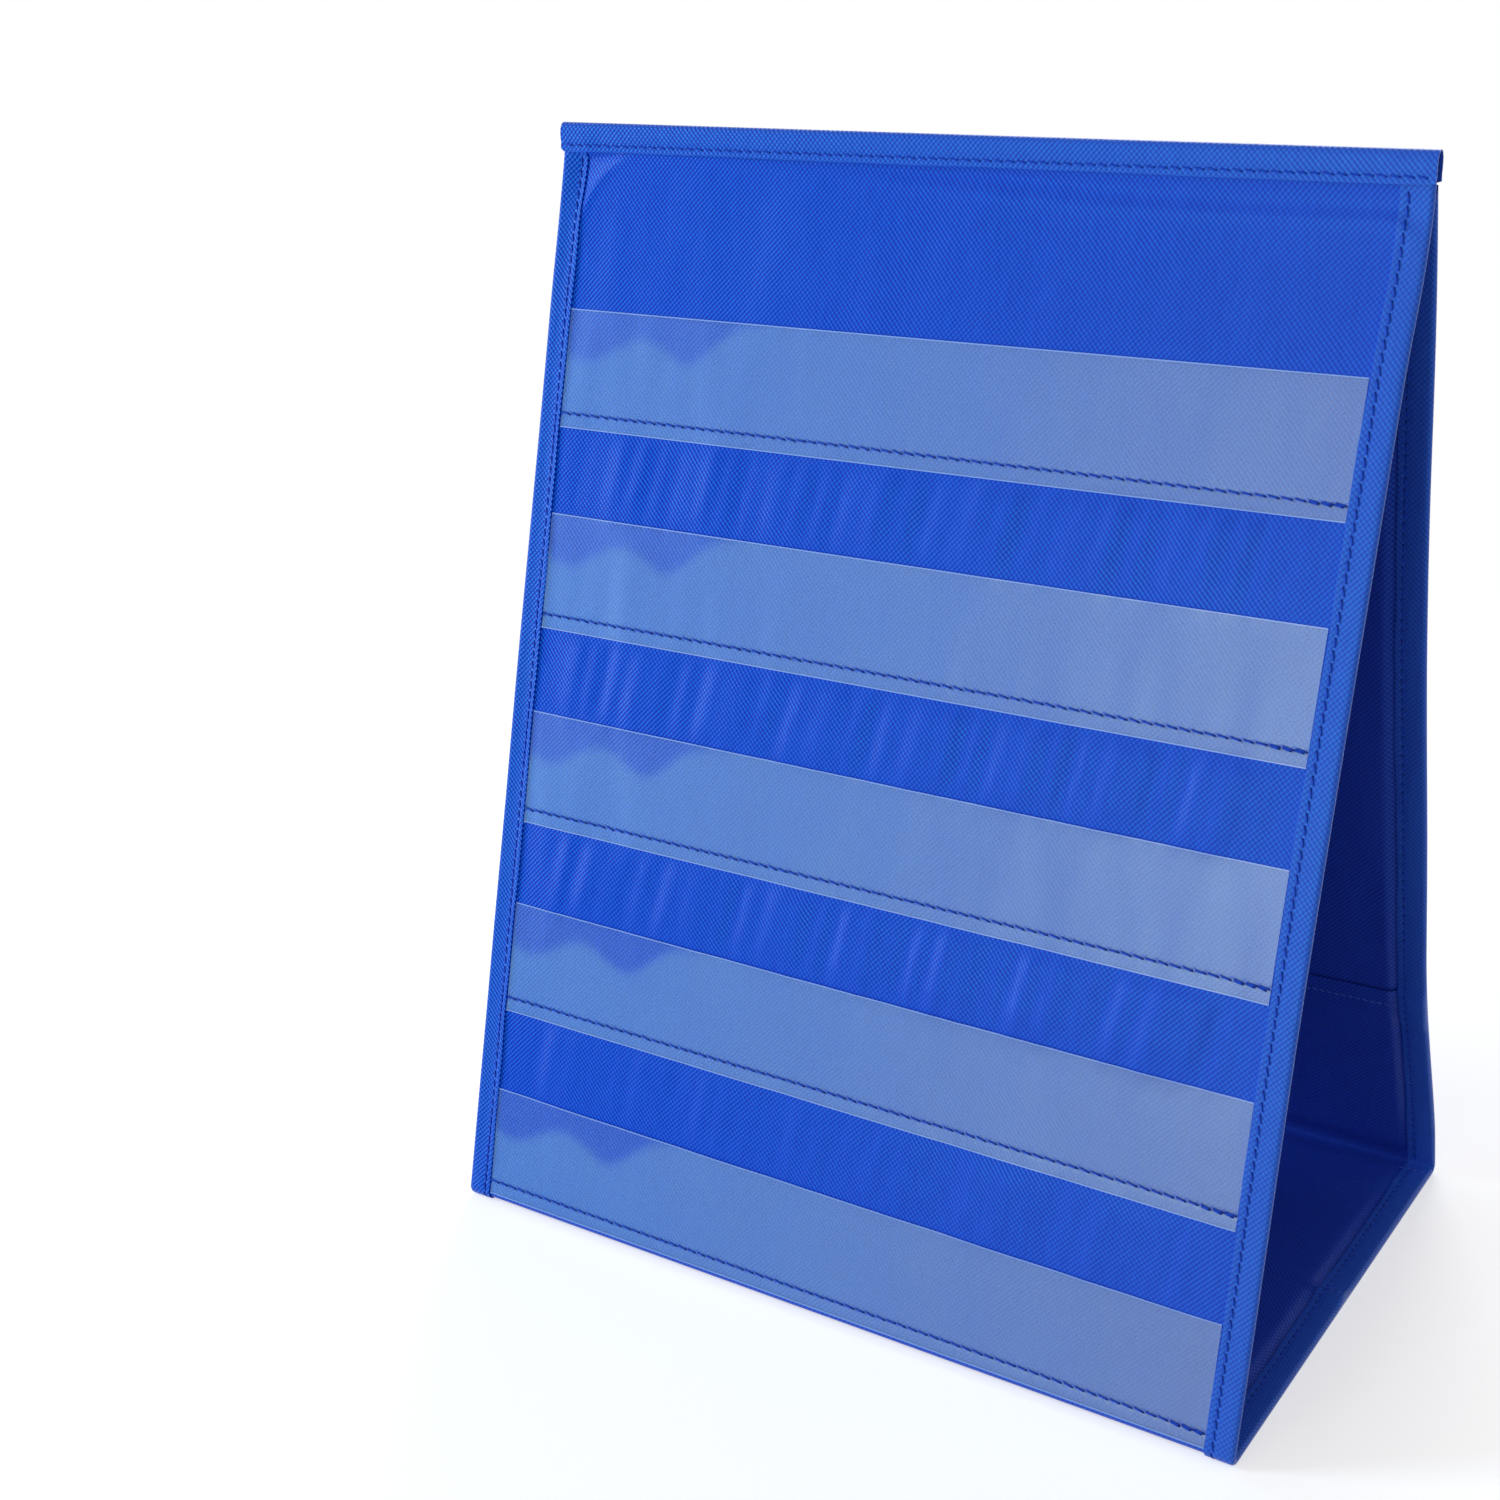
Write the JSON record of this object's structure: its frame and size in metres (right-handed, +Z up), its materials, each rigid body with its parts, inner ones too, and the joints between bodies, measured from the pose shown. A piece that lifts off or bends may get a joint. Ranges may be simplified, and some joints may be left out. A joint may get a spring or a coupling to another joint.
{
  "type": "tabletop pocket chart",
  "caption": "Folding tent-shaped tabletop chart of cloth over boards, with clear card pockets stitched across its sloping front and a base that folds up inside.",
  "frame": {"origin": "on the floor under the middle of the base, halfway between the front and back folds", "axes": "+X along the ridge to the right as seen from the front, -Y towards the front with the pockets, +Z up"},
  "size_m": [0.333, 0.2165, 0.4162],
  "materials": {
    "blue_cloth": "bright blue plain-woven polyester cloth with a fine checked grain, dull with a slight sheen",
    "dark_lining": "the same cloth as a lining inside the tent, a deeper blue, dull",
    "blue_tape": "strips of the same woven cloth folded over the edges as a binding, a little lighter",
    "grey_board": "plain greyboard stiffener, sealed inside the cloth",
    "clear_film": "thin clear vinyl film, slightly milky, glossy, with a paler cut edge",
    "navy_thread": "dark blue sewing thread, lightly waxed"
  },
  "bodies": {
    "front_panel": {"front_face_cloth": "blue_cloth", "front_board": "grey_board", "front_lining": "dark_lining", "front_left_tape": "blue_tape", "front_left_stitches": "navy_thread", "front_right_tape": "blue_tape", "front_right_stitches": "navy_thread", "pocket_film_1": "clear_film", "pocket_stitches_1": "navy_thread", "pocket_film_2": "clear_film", "pocket_stitches_2": "navy_thread", "pocket_film_3": "clear_film", "pocket_stitches_3": "navy_thread", "pocket_film_4": "clear_film", "pocket_stitches_4": "navy_thread", "pocket_film_5": "clear_film", "pocket_stitches_5": "navy_thread", "ridge_tape": "blue_tape", "ridge_stitches": "navy_thread", "back_cloth_top_edge": "blue_cloth", "back_lining_top_edge": "dark_lining"},
    "base_front": {"base_front_sole_cloth": "blue_cloth", "base_front_board": "grey_board", "base_front_lining": "dark_lining", "base_front_fold_stitches": "navy_thread", "base_front_left_tape": "blue_tape", "base_front_left_stitches": "navy_thread", "base_front_right_tape": "blue_tape", "base_front_right_stitches": "navy_thread"},
    "base_back": {"base_back_sole_cloth": "blue_cloth", "base_back_board": "grey_board", "base_back_lining": "dark_lining", "base_back_fold_stitches": "navy_thread", "base_seam_stitches": "navy_thread", "base_back_left_tape": "blue_tape", "base_back_left_stitches": "navy_thread", "base_back_right_tape": "blue_tape", "base_back_right_stitches": "navy_thread"},
    "back_panel": {"back_face_cloth": "blue_cloth", "back_board": "grey_board", "back_upper_lining": "dark_lining", "back_lower_lining": "dark_lining", "back_lap_stitches": "navy_thread", "back_left_tape": "blue_tape", "back_left_stitches": "navy_thread", "back_right_tape": "blue_tape", "back_right_stitches": "navy_thread"}
  },
  "joints": [
    {"name": "front_corner_fold", "type": "hinge", "parent": "front_panel", "child": "base_front", "pos_m": [0, -0.10411, 0.0038], "axis": [1, 0, 0], "range_deg": [0, 68]},
    {"name": "base_middle_fold", "type": "hinge", "parent": "base_front", "child": "base_back", "pos_m": [0, 0, 0], "axis": [-1, 0, 0], "range_deg": [0, 160]},
    {"name": "back_corner_fold", "type": "hinge", "parent": "base_back", "child": "back_panel", "pos_m": [0, 0.10411, 0.0038], "axis": [1, 0, 0], "range_deg": [0, 68]}
  ],
  "couplings": [
    {"joint": "front_corner_fold", "follows": "base_middle_fold", "ratio": 0.425},
    {"joint": "back_corner_fold", "follows": "base_middle_fold", "ratio": 0.425}
  ]
}
